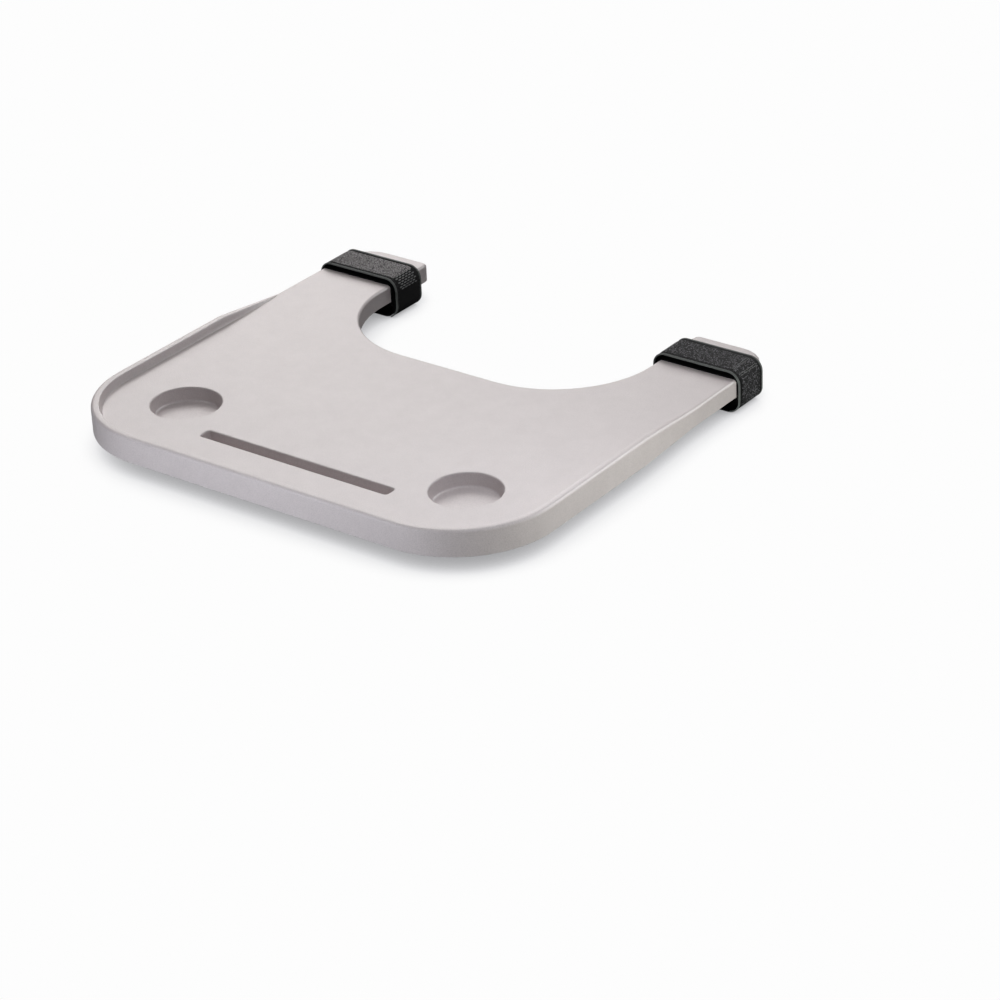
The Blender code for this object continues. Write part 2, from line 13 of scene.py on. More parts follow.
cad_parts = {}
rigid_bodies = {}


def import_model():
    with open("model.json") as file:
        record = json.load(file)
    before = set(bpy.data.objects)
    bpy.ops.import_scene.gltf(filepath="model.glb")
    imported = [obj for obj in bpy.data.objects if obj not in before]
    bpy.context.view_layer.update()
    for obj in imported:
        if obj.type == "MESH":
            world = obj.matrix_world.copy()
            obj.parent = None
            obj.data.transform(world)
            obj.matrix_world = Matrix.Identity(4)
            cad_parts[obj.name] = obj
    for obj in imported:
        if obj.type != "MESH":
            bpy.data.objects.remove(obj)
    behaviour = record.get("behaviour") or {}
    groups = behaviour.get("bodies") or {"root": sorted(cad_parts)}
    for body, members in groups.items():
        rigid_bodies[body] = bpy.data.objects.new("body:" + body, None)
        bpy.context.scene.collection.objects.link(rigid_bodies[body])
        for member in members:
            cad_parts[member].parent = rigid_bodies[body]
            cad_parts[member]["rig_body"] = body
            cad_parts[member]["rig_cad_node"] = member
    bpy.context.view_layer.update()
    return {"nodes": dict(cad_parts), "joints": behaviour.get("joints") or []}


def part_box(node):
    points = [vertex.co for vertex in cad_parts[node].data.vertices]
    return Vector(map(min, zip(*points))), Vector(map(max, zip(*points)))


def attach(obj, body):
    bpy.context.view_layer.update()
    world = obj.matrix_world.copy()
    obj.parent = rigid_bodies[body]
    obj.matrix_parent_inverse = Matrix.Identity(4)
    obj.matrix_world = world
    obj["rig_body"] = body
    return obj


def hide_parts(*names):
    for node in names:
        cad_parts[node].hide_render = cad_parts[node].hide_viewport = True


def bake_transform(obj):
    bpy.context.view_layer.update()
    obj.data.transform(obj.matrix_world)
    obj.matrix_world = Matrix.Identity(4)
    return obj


MM = 0.001
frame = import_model()

# Which way each arm lies along X, and the number of screws in the base panel.
SIDES = {"left": -1, "right": 1}
SCREW_COUNT = 12

# Places read from the model: the right arm's grip pad, and each layer of its strap.
PAD_LOW, PAD_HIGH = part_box("right_grip_pad")
WRAP_LOW, WRAP_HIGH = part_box("right_inner_band")
WEB_LOW, WEB_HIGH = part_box("right_outer_band")
FLAP_LOW, FLAP_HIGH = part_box("right_flap")
LOOP_LOW, LOOP_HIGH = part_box("right_loop_tape")
HOOK_LOW, HOOK_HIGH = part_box("right_hook_tape")
ARM_X = (PAD_LOW.x + PAD_HIGH.x) / 2
STRAP_Y = (WEB_LOW.y + WEB_HIGH.y) / 2
STRAP_WIDTH = WEB_HIGH.y - WEB_LOW.y
HINGE_Z = next(j for j in frame["joints"] if j["name"] == "right_flap_peel")["pos_m"][2]

# Strap layers, as the model has them.
WRAP_THICKNESS = 1.2 * MM
WEB_THICKNESS = 1.6 * MM
WRAP_BEND = 5 * MM
TOP_BEND = 16 * MM
BOTTOM_BEND = 16 * MM
BEND_FACET = math.radians(3)
ROW_LENGTH = 2 * MM

# The flap's soft foot follows the bottom bend: how far, in degrees, and its gap from the web.
FOOT_TURN = 58
FOOT_GAP = 0.4 * MM

# Stretch of the strap that bends as the flap opens, above and below the hinge.
FOLD_REACH = 6.5 * MM
SEAM_GAP = 0.02 * MM

# Strap's section from its edge inwards, in mm: distance from the edge, and drop below the highest
# face.
WEB_PROFILE = (
    (0.0, 0.8), (0.3, 0.34), (0.7, 0.06), (1.2, 0.0), (2.1, 0.04), (2.6, 0.2), (2.8, 0.54),
    (3.3, 0.5), (6.0, 0.5), (6.6, 0.22), (8.0, 0.16), (16.0, 0.12),
)
WRAP_PROFILE = ((0.0, 0.5), (0.4, 0.12), (1.0, 0.0), (1.8, 0.0), (2.3, 0.14), (6.0, 0.06))
BINDING_WIDTH = 2.8 * MM
SEAM_REACH = 6.3 * MM
SEAM_DROP = 0.5 * MM
PLAIN_DROP = 0.14 * MM

# Stitches: length, pitch, width and height of one stitch.
BINDING_STITCH = (3.4 * MM, 4.8 * MM, 2.4 * MM, 0.5 * MM)
TACK_STITCH = (5.2 * MM, 6.3 * MM, 1.6 * MM, 0.5 * MM)
BAR_STITCH = (2.2 * MM, 2.8 * MM, 0.7 * MM, 0.4 * MM)
TAPE_STITCH = (1.6 * MM, 2.4 * MM, 0.4 * MM, 0.24 * MM)
STITCH_INSET = 4.6 * MM
SEAM_MARGIN = 1.5 * MM
THREAD_LIFT = 0.08 * MM
TACK_INSET = 7.4 * MM

# Stitched rows across the flap, measured from the top of its foot, and the woven end under them.
TACK_START = 20.4 * MM
TACK_PITCH = 2.55 * MM
TACK_ROWS = 7
WOVEN_END = 36.6 * MM
PILE_REACH = 32 * MM
BAR_PLACES = (128.0 * MM, 130.0 * MM, 138.6 * MM, 140.6 * MM)

# Fastener: loops and hooks on their woven tapes. Each loop is turned a little, in radians.
TAPE_EDGE = 2.2 * MM
LOOP_RADIUS = 0.32 * MM
LOOP_WIRE = 0.07 * MM
LOOP_PITCH = 1.0 * MM
LOOP_TURN = 0.5
HOOK_STEM = 0.1 * MM
HOOK_HEAD = 0.24 * MM
HOOK_HEIGHT = 0.42 * MM
HOOK_PITCH = 1.1 * MM

# Grip pads: plate, and the half-round ribs across it.
PAD_CORNER = 6 * MM
PAD_EDGE = 0.5 * MM
PAD_RIB = 0.9 * MM
PAD_RIB_PITCH = 3.2 * MM
PAD_RIB_INSET = 2.4 * MM

# How close two places are the same one, how close two points are merged, and the angles, in
# degrees, above which an edge stays sharp.
SAME_PLACE = 0.01 * MM
MERGE_REACH = 0.001 * MM
CLOTH_SMOOTH = 60
RUBBER_SMOOTH = 40
ABS_SMOOTH = 32

# Camera, solved from the photograph.
CAMERA_PLACE = Vector((2.071962, -2.569570, 1.658356))
CAMERA_RIGHT = Vector((0.8070859, 0.5891613, -0.0387468))
CAMERA_UP = Vector((-0.2506810, 0.4013423, 0.8809560))
CAMERA_LENS = 116.837
CAMERA_SENSOR = 36
CAMERA_CLIP = (0.1, 50)

# Studio light: place, size, power and colour of each panel. Low strips wash the outer walls and
# leave the inner sides dark, and the panels in GLEAMS only draw a gleam along the rounded edges.
# All of them face AIM.
AIM = Vector((0, 0, 0.03))
LIGHTS = (
    ("rear_panel", (-1.5, 2.0, 1.4), (1.6, 1.6), 30, "FFFEFD"),
    ("back_panel", (0.6, 2.0, 2.0), (1.6, 1.6), 5, "FFFEFD"),
    ("left_panel", (-1.9, 1.3, 1.9), (1.4, 1.4), 27, "FFFEFD"),
    ("top_panel", (0.0, 0.1, 2.2), (0.6, 0.6), 6, "FFFEFD"),
    ("near_panel", (0.33, -0.15, 0.3), (0.2, 0.2), 0.23, "F2F8FF"),
    ("corner_panel", (0.7, -0.6, 0.9), (0.5, 0.5), 1.6, "F8FCFF"),
    ("front_panel", (-1.6, -2.0, 0.5), (1.2, 1.2), 3.5, "F2F8FF"),
    ("front_strip", (-0.03, -0.62, 0.035), (0.6, 0.06), 1.13, "F2F8FF"),
    ("right_strip", (0.72, -0.08, 0.022), (0.74, 0.04), 0.78, "F8FDF6"),
    ("arm_strip", (0.62, 0.08, 0.022), (0.36, 0.04), 0.46, "F8FDF6"),
    ("right_gleam", (0.95, 1.4, 1.1), (1.0, 1.0), 40, "FFFFFF"),
    ("front_gleam", (-1.1, -0.95, 1.4), (1.0, 1.0), 8, "FFFFFF"),
)
GLEAMS = ("right_gleam", "front_gleam")
WORLD_STRENGTH = 0.01

# Floor: its size, how far it lies below the straps, and how far from the object its painted
# shadow fades.
FLOOR_SIZE = 30
FLOOR_DROP = 0.2 * MM
PAINTED_SHADOW_REACH = 90 * MM

# Blender's wave texture turns through this many radians per unit of its scale.
WAVE_RATE = 20


def linear(code):
    """sRGB hex code as linear red, green and blue."""
    values = [int(code[place:place + 2], 16) / 255 for place in (0, 2, 4)]
    return tuple(v / 12.92 if v <= 0.04045 else ((v + 0.055) / 1.055) ** 2.4 for v in values)


def plug(node, *links):
    """Sets a node's inputs. links are (input, source socket) or (input, value) pairs."""
    for key, value in links:
        if isinstance(value, bpy.types.NodeSocket):
            node.id_data.links.new(value, node.inputs[key])
        else:
            node.inputs[key].default_value = value


def add(tree, kind, links=(), stops=(), **settings):
    """Adds a node with its settings and links, and a ramp's (place, hex code) stops."""
    node = tree.nodes.new(kind)
    for key, value in settings.items():
        setattr(node, key, value)
    plug(node, *links)
    if stops:
        elements = node.color_ramp.elements
        while len(elements) < len(stops):
            elements.new(0.5)
        for element, (place, code) in zip(elements, stops):
            element.position = place
            element.color = (*linear(code), 1)
    return node


def new_material(name, roughness, **sockets):
    """Material with one Principled shader. Returns it with its tree and shader."""
    material = bpy.data.materials.new(name)
    material.use_nodes = True
    shader = material.node_tree.nodes["Principled BSDF"]
    plug(shader, ("Roughness", roughness))
    for key, value in sockets.items():
        plug(shader, (key.replace("_", " "), value))
    return material, material.node_tree, shader


def moulded_abs():
    """Injection moulded ABS with a fine spark grain: satin, pale warm grey, faintly mottled.

    A real spark grain is about 0.2 mm across. It is drawn coarser here, so that it shows.
    """
    grain_size = 1.1 * MM
    cloud_size = 30 * MM
    material, tree, shader = new_material("moulded_abs", 0.46, IOR=1.53)
    place = add(tree, "ShaderNodeTexCoord").outputs["Object"]
    cloud = add(tree, "ShaderNodeTexNoise", [
        ("Vector", place), ("Scale", 1 / cloud_size), ("Detail", 5.0), ("Roughness", 0.8),
    ]).outputs["Fac"]
    grain = add(tree, "ShaderNodeTexNoise", [
        ("Vector", place), ("Scale", 1 / grain_size), ("Detail", 3.0), ("Roughness", 0.6),
    ]).outputs["Fac"]
    tone = add(tree, "ShaderNodeValToRGB", [("Fac", cloud)], ((0.35, "D4CACA"), (0.65, "D9CFCF")))
    speck = add(tree, "ShaderNodeValToRGB", [("Fac", grain)], ((0.32, "ECECEC"), (0.6, "FFFFFF")))
    colour = add(tree, "ShaderNodeMix", [
        ("Factor", 1.0), ("A", tone.outputs["Color"]), ("B", speck.outputs["Color"]),
    ], data_type="RGBA", blend_type="MULTIPLY")
    gloss = add(tree, "ShaderNodeMapRange", [
        ("Value", grain), ("From Min", 0.3), ("From Max", 0.7), ("To Min", 0.4), ("To Max", 0.52),
    ])
    bump = add(tree, "ShaderNodeBump", [
        ("Height", grain), ("Strength", 0.4), ("Distance", 0.06 * MM),
    ])
    plug(
        shader, ("Base Color", colour.outputs["Result"]), ("Roughness", gloss.outputs["Result"]),
        ("Normal", bump.outputs["Normal"]),
    )
    return material


def grained_abs():
    """Moulded ABS panel with a coarser leather grain on its lower face, a little duller."""
    cell_size = 1.8 * MM
    material, tree, shader = new_material("grained_abs", 0.58, IOR=1.53)
    place = add(tree, "ShaderNodeTexCoord").outputs["Object"]
    cells = add(tree, "ShaderNodeTexVoronoi", [
        ("Vector", place), ("Scale", 1 / cell_size),
    ], feature="DISTANCE_TO_EDGE").outputs["Distance"]
    tone = add(tree, "ShaderNodeValToRGB", [("Fac", cells)], ((0.0, "B9B4B4"), (0.12, "C9C4C3")))
    bump = add(tree, "ShaderNodeBump", [
        ("Height", cells), ("Strength", 0.5), ("Distance", 0.12 * MM),
    ])
    plug(shader, ("Base Color", tone.outputs["Color"]), ("Normal", bump.outputs["Normal"]))
    return material


def zinc_plate():
    """Zinc plated steel: a soft silver with a faint milky cloud."""
    cloud_size = 2 * MM
    material, tree, shader = new_material("zinc_plate", 0.34, Metallic=1.0)
    place = add(tree, "ShaderNodeTexCoord").outputs["Object"]
    cloud = add(tree, "ShaderNodeTexNoise", [
        ("Vector", place), ("Scale", 1 / cloud_size), ("Detail", 3.0),
    ]).outputs["Fac"]
    tone = add(tree, "ShaderNodeValToRGB", [("Fac", cloud)], ((0.3, "B4B6B6"), (0.7, "D2D3D1")))
    gloss = add(tree, "ShaderNodeMapRange", [("Value", cloud), ("To Min", 0.24), ("To Max", 0.46)])
    plug(shader, ("Base Color", tone.outputs["Color"]), ("Roughness", gloss.outputs["Result"]))
    return material


def nitrile_rubber():
    """Moulded nitrile rubber: matt black, with a dusty bloom."""
    bloom_size = 6 * MM
    material, tree, shader = new_material("nitrile_rubber", 0.78)
    place = add(tree, "ShaderNodeTexCoord").outputs["Object"]
    bloom = add(tree, "ShaderNodeTexNoise", [
        ("Vector", place), ("Scale", 1 / bloom_size), ("Detail", 5.0),
    ]).outputs["Fac"]
    tone = add(tree, "ShaderNodeValToRGB", [("Fac", bloom)], ((0.3, "1C1C1D"), (0.75, "2C2B2C")))
    bump = add(tree, "ShaderNodeBump", [
        ("Height", bloom), ("Strength", 0.3), ("Distance", 0.1 * MM),
    ])
    plug(shader, ("Base Color", tone.outputs["Color"]), ("Normal", bump.outputs["Normal"]))
    return material


def brushed_loop(name, dark, light, loop_size, low):
    """Brushed nylon loop: a dense pile of curled loops, with a soft nap over it.

    A real loop is well under a millimetre across, and its fibres are finer still. Both are drawn
    coarser here, so that they show.
    """
    fibre_size = 0.5 * MM
    nap_size = 12 * MM
    material, tree, shader = new_material(
        name, 0.9, Sheen_Weight=0.08, Sheen_Roughness=0.4, Specular_IOR_Level=0.25,
    )
    place = add(tree, "ShaderNodeTexCoord").outputs["UV"]
    loops = add(tree, "ShaderNodeTexVoronoi", [
        ("Vector", place), ("Scale", 1 / loop_size), ("Randomness", 0.75),
    ]).outputs["Distance"]
    fibres = add(tree, "ShaderNodeTexNoise", [
        ("Vector", place), ("Scale", 1 / fibre_size), ("Detail", 2.0), ("Roughness", 0.7),
    ]).outputs["Fac"]
    nap = add(tree, "ShaderNodeTexNoise", [
        ("Vector", place), ("Scale", 1 / nap_size), ("Detail", 1.0),
    ]).outputs["Fac"]
    crowns = add(tree, "ShaderNodeMath", [
        (0, loops), (1, -0.8), (2, 0.75),
    ], operation="MULTIPLY_ADD").outputs["Value"]
    fuzz = add(tree, "ShaderNodeMath", [
        (0, fibres), (1, 0.6), (2, crowns),
    ], operation="MULTIPLY_ADD").outputs["Value"]
    height = add(tree, "ShaderNodeMath", [
        (0, nap), (1, 0.08), (2, fuzz),
    ], operation="MULTIPLY_ADD").outputs["Value"]
    tone = add(tree, "ShaderNodeValToRGB", [("Fac", height)], ((low, dark), (1.0, light)))
    bump = add(tree, "ShaderNodeBump", [
        ("Height", height), ("Strength", 0.9), ("Distance", 0.5 * MM),
    ])
    plug(shader, ("Base Color", tone.outputs["Color"]), ("Normal", bump.outputs["Normal"]))
    return material


def woven_cloth(name, dark, light, pitch):
    """Plain woven nylon: crowns of the yarns in a close grid, with a dull gleam.

    The yarns of real webbing lie about 0.7 mm apart. The straps' are drawn twice as coarse, so
    that they show.
    """
    material, tree, shader = new_material(name, 0.8, Specular_IOR_Level=0.1)
    place = add(tree, "ShaderNodeTexCoord").outputs["UV"]
    warp, weft = [
        add(tree, "ShaderNodeTexWave", [
            ("Vector", place), ("Scale", math.tau / WAVE_RATE / step),
            ("Distortion", 0.6), ("Detail", 1.0),
        ], bands_direction=direction).outputs["Fac"]
        for direction, step in (("X", pitch), ("Y", 0.8 * pitch))
    ]
    crowns = add(tree, "ShaderNodeMath", [
        (0, warp), (1, weft),
    ], operation="MULTIPLY").outputs["Value"]
    wear = add(tree, "ShaderNodeTexNoise", [
        ("Vector", place), ("Scale", 1 / (3 * pitch)), ("Detail", 3.0),
    ]).outputs["Fac"]
    height = add(tree, "ShaderNodeMath", [
        (0, wear), (1, 0.35), (2, crowns),
    ], operation="MULTIPLY_ADD").outputs["Value"]
    tone = add(tree, "ShaderNodeValToRGB", [("Fac", height)], ((0.15, dark), (0.85, light)))
    bump = add(tree, "ShaderNodeBump", [
        ("Height", crowns), ("Strength", 0.8), ("Distance", 0.18 * MM),
    ])
    plug(shader, ("Base Color", tone.outputs["Color"]), ("Normal", bump.outputs["Normal"]))
    return material


def spun_thread(name, dark, light):
    """Spun polyester thread: twisted and matt."""
    twist_pitch = 0.7 * MM
    material, tree, shader = new_material(name, 0.8, Specular_IOR_Level=0.2)
    place = add(tree, "ShaderNodeTexCoord").outputs["Object"]
    twist = add(tree, "ShaderNodeTexNoise", [
        ("Vector", place), ("Scale", 1 / twist_pitch), ("Detail", 1.0),
    ]).outputs["Fac"]
    tone = add(tree, "ShaderNodeValToRGB", [("Fac", twist)], ((0.3, dark), (0.7, light)))
    plug(shader, ("Base Color", tone.outputs["Color"]))
    return material


def nylon_wire(name, light, roughness):
    """Drawn nylon of the hooks and loops: near black, with a small gleam."""
    draw_pitch = 0.4 * MM
    material, tree, shader = new_material(name, roughness)
    place = add(tree, "ShaderNodeTexCoord").outputs["Object"]
    draw = add(tree, "ShaderNodeTexNoise", [
        ("Vector", place), ("Scale", 1 / draw_pitch), ("Detail", 1.0),
    ]).outputs["Fac"]
    tone = add(tree, "ShaderNodeValToRGB", [("Fac", draw)], ((0.3, "18181A"), (0.7, light)))
    plug(shader, ("Base Color", tone.outputs["Color"]))
    return material


ABS = moulded_abs()
PANEL = grained_abs()
ZINC = zinc_plate()
RUBBER = nitrile_rubber()
# One pile cloth in two copies: the right strap's is painted darker, as painted shade, and the left
# strap's lighter, as painted light, for how the light falls on each strap.
PILE_PAINTED_LIT = brushed_loop("brushed_loop_painted_lit", "383637", "BCB8B9", 1.3 * MM, 0.56)
PILE_PAINTED_SHADED = brushed_loop("brushed_loop_painted_shaded", "020203", "8A878D", 1.9 * MM, 0.7)
WEAVE = woven_cloth("woven_nylon", "040405", "171618", 1.5 * MM)
BINDING = woven_cloth("binding_tape", "5A5C5B", "868987", 0.9 * MM)
TAPE = woven_cloth("fastener_tape", "141416", "303033", 0.8 * MM)
TACK_THREAD = spun_thread("tack_thread", "626363", "929392")
SEAM_THREAD = spun_thread("seam_thread", "0A0A0B", "1E1E1F")
LOOPS = nylon_wire("loop_wire", "3E3E41", 0.6)
HOOKS = nylon_wire("hook_wire", "2A2A2D", 0.3)


def activate(piece):
    """Leaves this piece alone selected and active."""
    if bpy.context.object and bpy.context.object.mode != "OBJECT":
        bpy.ops.object.mode_set(mode="OBJECT")
    bpy.ops.object.select_all(action="DESELECT")
    bpy.context.view_layer.objects.active = piece
    piece.select_set(True)


def apply_modifier(piece, kind, **settings):
    activate(piece)
    modifier = piece.modifiers.new(kind.lower(), kind)
    for key, value in settings.items():
        setattr(modifier, key, value)
    bpy.ops.object.modifier_apply(modifier=modifier.name)


def settle(piece):
    """Puts the piece's place, turn and scale into its mesh."""
    activate(piece)
    bpy.ops.object.transform_apply(location=True, rotation=True, scale=True)


def smooth(piece, degrees):
    activate(piece)
    bpy.ops.object.shade_smooth_by_angle(angle=math.radians(degrees))


def add_box(name, low, high):
    """Box primitive between two corners."""
    bpy.ops.object.select_all(action="DESELECT")
    low = Vector(low)
    high = Vector(high)
    bpy.ops.mesh.primitive_cube_add(size=1, location=(low + high) / 2)
    piece = bpy.context.object
    piece.name = name
    piece.scale = high - low
    settle(piece)
    return piece


def cut_across(piece, axis, places):
    """Cuts edge loops into the whole piece, square to one axis."""
    activate(piece)
    bpy.ops.object.mode_set(mode="EDIT")
    normal = [0.0, 0.0, 0.0]
    normal[axis] = 1.0
    for place in places:
        point = [0.0, 0.0, 0.0]
        point[axis] = place
        bpy.ops.mesh.select_all(action="SELECT")
        bpy.ops.mesh.bisect(plane_co=point, plane_no=normal)
    bpy.ops.object.mode_set(mode="OBJECT")


def move_where(piece, test, step):
    """Moves the vertices that pass the test."""
    activate(piece)
    bpy.ops.object.mode_set(mode="EDIT")
    bpy.ops.mesh.select_all(action="DESELECT")
    bpy.ops.mesh.select_mode(type="VERT")
    bpy.ops.object.mode_set(mode="OBJECT")
    for vertex in piece.data.vertices:
        vertex.select = test(vertex.co)
    bpy.ops.object.mode_set(mode="EDIT")
    bpy.ops.transform.translate(value=step)
    bpy.ops.object.mode_set(mode="OBJECT")


def lay_uv(piece, along=0, across=2):
    """UV map in metres from two of the piece's axes: along its length and across its width."""
    layer = piece.data.uv_layers.active or piece.data.uv_layers.new(name="UVMap")
    for loop in piece.data.loops:
        co = piece.data.vertices[loop.vertex_index].co
        layer.data[loop.index].uv = (co[along], co[across])


def path_curve(name, points):
    """Flat curve through (x, z) points that strips are wrapped along."""
    curve = bpy.data.curves.new(name, "CURVE")
    curve.dimensions = "2D"
    spline = curve.splines.new("POLY")
    spline.points.add(len(points) - 1)
    for point, (x, z) in zip(spline.points, points):
        point.co = (x, z, 0, 1)
    path = bpy.data.objects.new(name, curve)
    bpy.context.scene.collection.objects.link(path)
    return path


def arc(x, z, radius, start, end):
    """Points on an arc about (x, z), both ends included. Angles are in degrees."""
    steps = max(2, math.ceil(abs(math.radians(end - start)) / BEND_FACET))
    points = []
    for step in range(steps + 1):
        angle = math.radians(start + (end - start) * step / steps)
        points.append((x + radius * math.cos(angle), z + radius * math.sin(angle)))
    return points


def path_length(points):
    return sum(math.dist(a, b) for a, b in zip(points, points[1:]))


def wrap(piece, points):
    """Bends a flat strip along the path, stands it round the right arm and smooths it."""
    path = path_curve("path", points)
    apply_modifier(piece, "CURVE", object=path, deform_axis="POS_X")
    bpy.data.objects.remove(path, do_unlink=True)
    piece.matrix_world = Matrix.Translation((0, STRAP_Y, 0)) @ Matrix.Rotation(math.pi / 2, 4, "X")
    settle(piece)
    smooth(piece, CLOTH_SMOOTH)


def flat_strip(name, start, end, thickness, profile):
    """Flat strip along X, its width along Z and its outer face up, with a shaped section."""
    half = STRAP_WIDTH / 2
    piece = add_box(name, (start, 0, -half), (end, thickness, half))
    cuts = [side * (half - inset * MM) for inset, _ in profile[1:] for side in (1, -1)]
    cut_across(piece, 2, cuts)
    rows = max(1, round((end - start) / ROW_LENGTH))
    cut_across(piece, 0, [start + (end - start) * row / rows for row in range(1, rows)])
    for inset, drop in profile:
        place = half - inset * MM
        move_where(
            piece,
            lambda co, place=place: co.y > thickness / 2 and abs(abs(co.z) - place) < SAME_PLACE,
            (0, -drop * MM, 0),
        )
    lay_uv(piece)
    return piece


def clad(piece, *materials):
    """Gives the piece its materials, one slot each. The first covers all of it."""
    for material in materials:
        piece.data.materials.append(material)


def paint(piece, material, test):
    """Puts one of the piece's materials on the faces whose middle passes the test."""
    index = list(piece.data.materials).index(material)
    for face in piece.data.polygons:
        if test(face.center):
            face.material_index = index


def bind_edges(piece, reach=math.inf):
    """Binding along both edges and bare weave in its sunk seam, as far as the reach."""
    seam = STRAP_WIDTH / 2 - SEAM_REACH
    bound = STRAP_WIDTH / 2 - BINDING_WIDTH
    paint(piece, WEAVE, lambda middle: abs(middle.z) > seam and middle.x < reach)
    paint(piece, BINDING, lambda middle: abs(middle.z) > bound and middle.x < reach)


def add_stitch(name, stitch, turned):
    """One stitch, a long grain of thread that lies along X, or along Z if turned."""
    length, pitch, width, height = stitch
    bpy.ops.object.select_all(action="DESELECT")
    bpy.ops.mesh.primitive_uv_sphere_add(segments=8, ring_count=6, radius=0.5)
    piece = bpy.context.object
    piece.name = name
    piece.scale = (width, height, length) if turned else (length, height, width)
    settle(piece)
    return piece


def repeat(piece, count, step):
    """Row of copies, each one step from the last."""
    apply_modifier(
        piece, "ARRAY", count=count, use_relative_offset=False,
        use_constant_offset=True, constant_offset_displace=step,
    )


def stitch_line(name, stitch, start, end, across, height, turned=False):
    """Row of stitches on the flat strip, along its length, or across its width if turned."""
    pitch = stitch[1]
    piece = add_stitch(name, stitch, turned)
    count = max(1, int((end - start) / pitch))
    repeat(piece, count, (0, 0, pitch) if turned else (pitch, 0, 0))
    first = (start + end - (count - 1) * pitch) / 2
    piece.location = (across, height, first) if turned else (first, height, across)
    settle(piece)
    return piece


def join(name, pieces):
    activate(pieces[0])
    for piece in pieces:
        piece.select_set(True)
    bpy.ops.object.join()
    pieces[0].name = name
    pieces[0].data.name = name
    return pieces[0]


def mirrored(piece, name):
    """Copy on the other arm, with its own mesh."""
    copy = piece.copy()
    copy.data = piece.data.copy()
    copy.name = name
    bpy.context.scene.collection.objects.link(copy)
    copy.scale = (-1, 1, 1)
    settle(copy)
    activate(copy)
    bpy.ops.object.mode_set(mode="EDIT")
    bpy.ops.mesh.select_all(action="SELECT")
    bpy.ops.mesh.normals_make_consistent(inside=False)
    bpy.ops.object.mode_set(mode="OBJECT")
    return copy


def foot_points():
    """Inner face of the flap's foot: it closes in on the web as it follows the bottom bend."""
    reach = WEB_LOW.x + BOTTOM_BEND - (FLAP_LOW.x + WEB_THICKNESS)
    close = reach - BOTTOM_BEND - FOOT_GAP
    steps = math.ceil(math.radians(FOOT_TURN) / BEND_FACET)
    points = []
    for step in range(steps, -1, -1):
        part = step / steps
        angle = math.radians(180 + FOOT_TURN * part)
        radius = reach - close * part * part * (3 - 2 * part)
        x = WEB_LOW.x + BOTTOM_BEND + radius * math.cos(angle)
        points.append((x, BOTTOM_BEND + radius * math.sin(angle)))
    return points


def flap_points():
    """Inner face of the flap, from its foot, which hugs the bottom bend, over to the hinge."""
    inner = TOP_BEND - WEB_THICKNESS
    foot_x = FLAP_LOW.x + WEB_THICKNESS
    fold_x = FLAP_HIGH.x - WEB_THICKNESS
    bend_z = FLAP_HIGH.z - TOP_BEND
    points = foot_points()
    points += arc(foot_x + inner, bend_z, inner, 180, 90)
    points += arc(fold_x - inner, bend_z, inner, 90, 0)
    points.append((fold_x, HINGE_Z - FOLD_REACH))
    return points


def web_points():
    """Inner face of the fixed web, from the hinge down, round below the arm and up again."""
    inner = BOTTOM_BEND - WEB_THICKNESS
    fold_x = WEB_HIGH.x - WEB_THICKNESS
    end_x = WEB_LOW.x + WEB_THICKNESS
    points = [(fold_x, HINGE_Z - FOLD_REACH)]
    points += arc(fold_x - inner, BOTTOM_BEND, inner, 0, -90)
    points += arc(end_x + inner, BOTTOM_BEND, inner, -90, -180)
    points.append((end_x, WEB_HIGH.z))
    return points


def wrap_points():
    """Inner face of the thin wrap on the arm, from the middle of its lower run round."""
    inner = WRAP_BEND - WRAP_THICKNESS
    low_x, high_x = WRAP_LOW.x + WRAP_THICKNESS, WRAP_HIGH.x - WRAP_THICKNESS
    low_z, high_z = WRAP_LOW.z + WRAP_THICKNESS, WRAP_HIGH.z - WRAP_THICKNESS
    points = [(ARM_X, low_z)]
    points += arc(low_x + inner, low_z + inner, inner, -90, -180)
    points += arc(low_x + inner, high_z - inner, inner, 180, 90)
    points += arc(high_x - inner, high_z - inner, inner, 90, 0)
    points += arc(high_x - inner, low_z + inner, inner, 0, -90)
    points.append((ARM_X, low_z))
    return points


def binding_seams(name, length):
    """Dark stitches along both bindings of a flat strip of this length."""
    across = STRAP_WIDTH / 2 - STITCH_INSET
    height = WEB_THICKNESS - SEAM_DROP + THREAD_LIFT
    start, end = SEAM_MARGIN, length - SEAM_MARGIN
    seams = join(name, [
        stitch_line("seam", BINDING_STITCH, start, end, side * across, height)
        for side in (1, -1)
    ])
    clad(seams, SEAM_THREAD)
    return seams


def flap_tacks(foot):
    """Pale bars far up the flap, and the staggered rows of tacks over its woven end."""
    low = TACK_INSET - STRAP_WIDTH / 2
    high = STRAP_WIDTH / 2 - TACK_INSET
    height = WEB_THICKNESS - PLAIN_DROP
    rows = [
        stitch_line("bar", BAR_STITCH, low, high, foot + place, height, turned=True)
        for place in BAR_PLACES
    ]
    for row in range(TACK_ROWS):
        shift = (row % 2 - 0.5) * TACK_STITCH[1] / 2
        place = foot + TACK_START + row * TACK_PITCH
        start, end = low + shift, high + shift
        rows.append(stitch_line("tack", TACK_STITCH, start, end, place, height, turned=True))
    tacks = join("flap_tacks", rows)
    clad(tacks, TACK_THREAD)
    return tacks


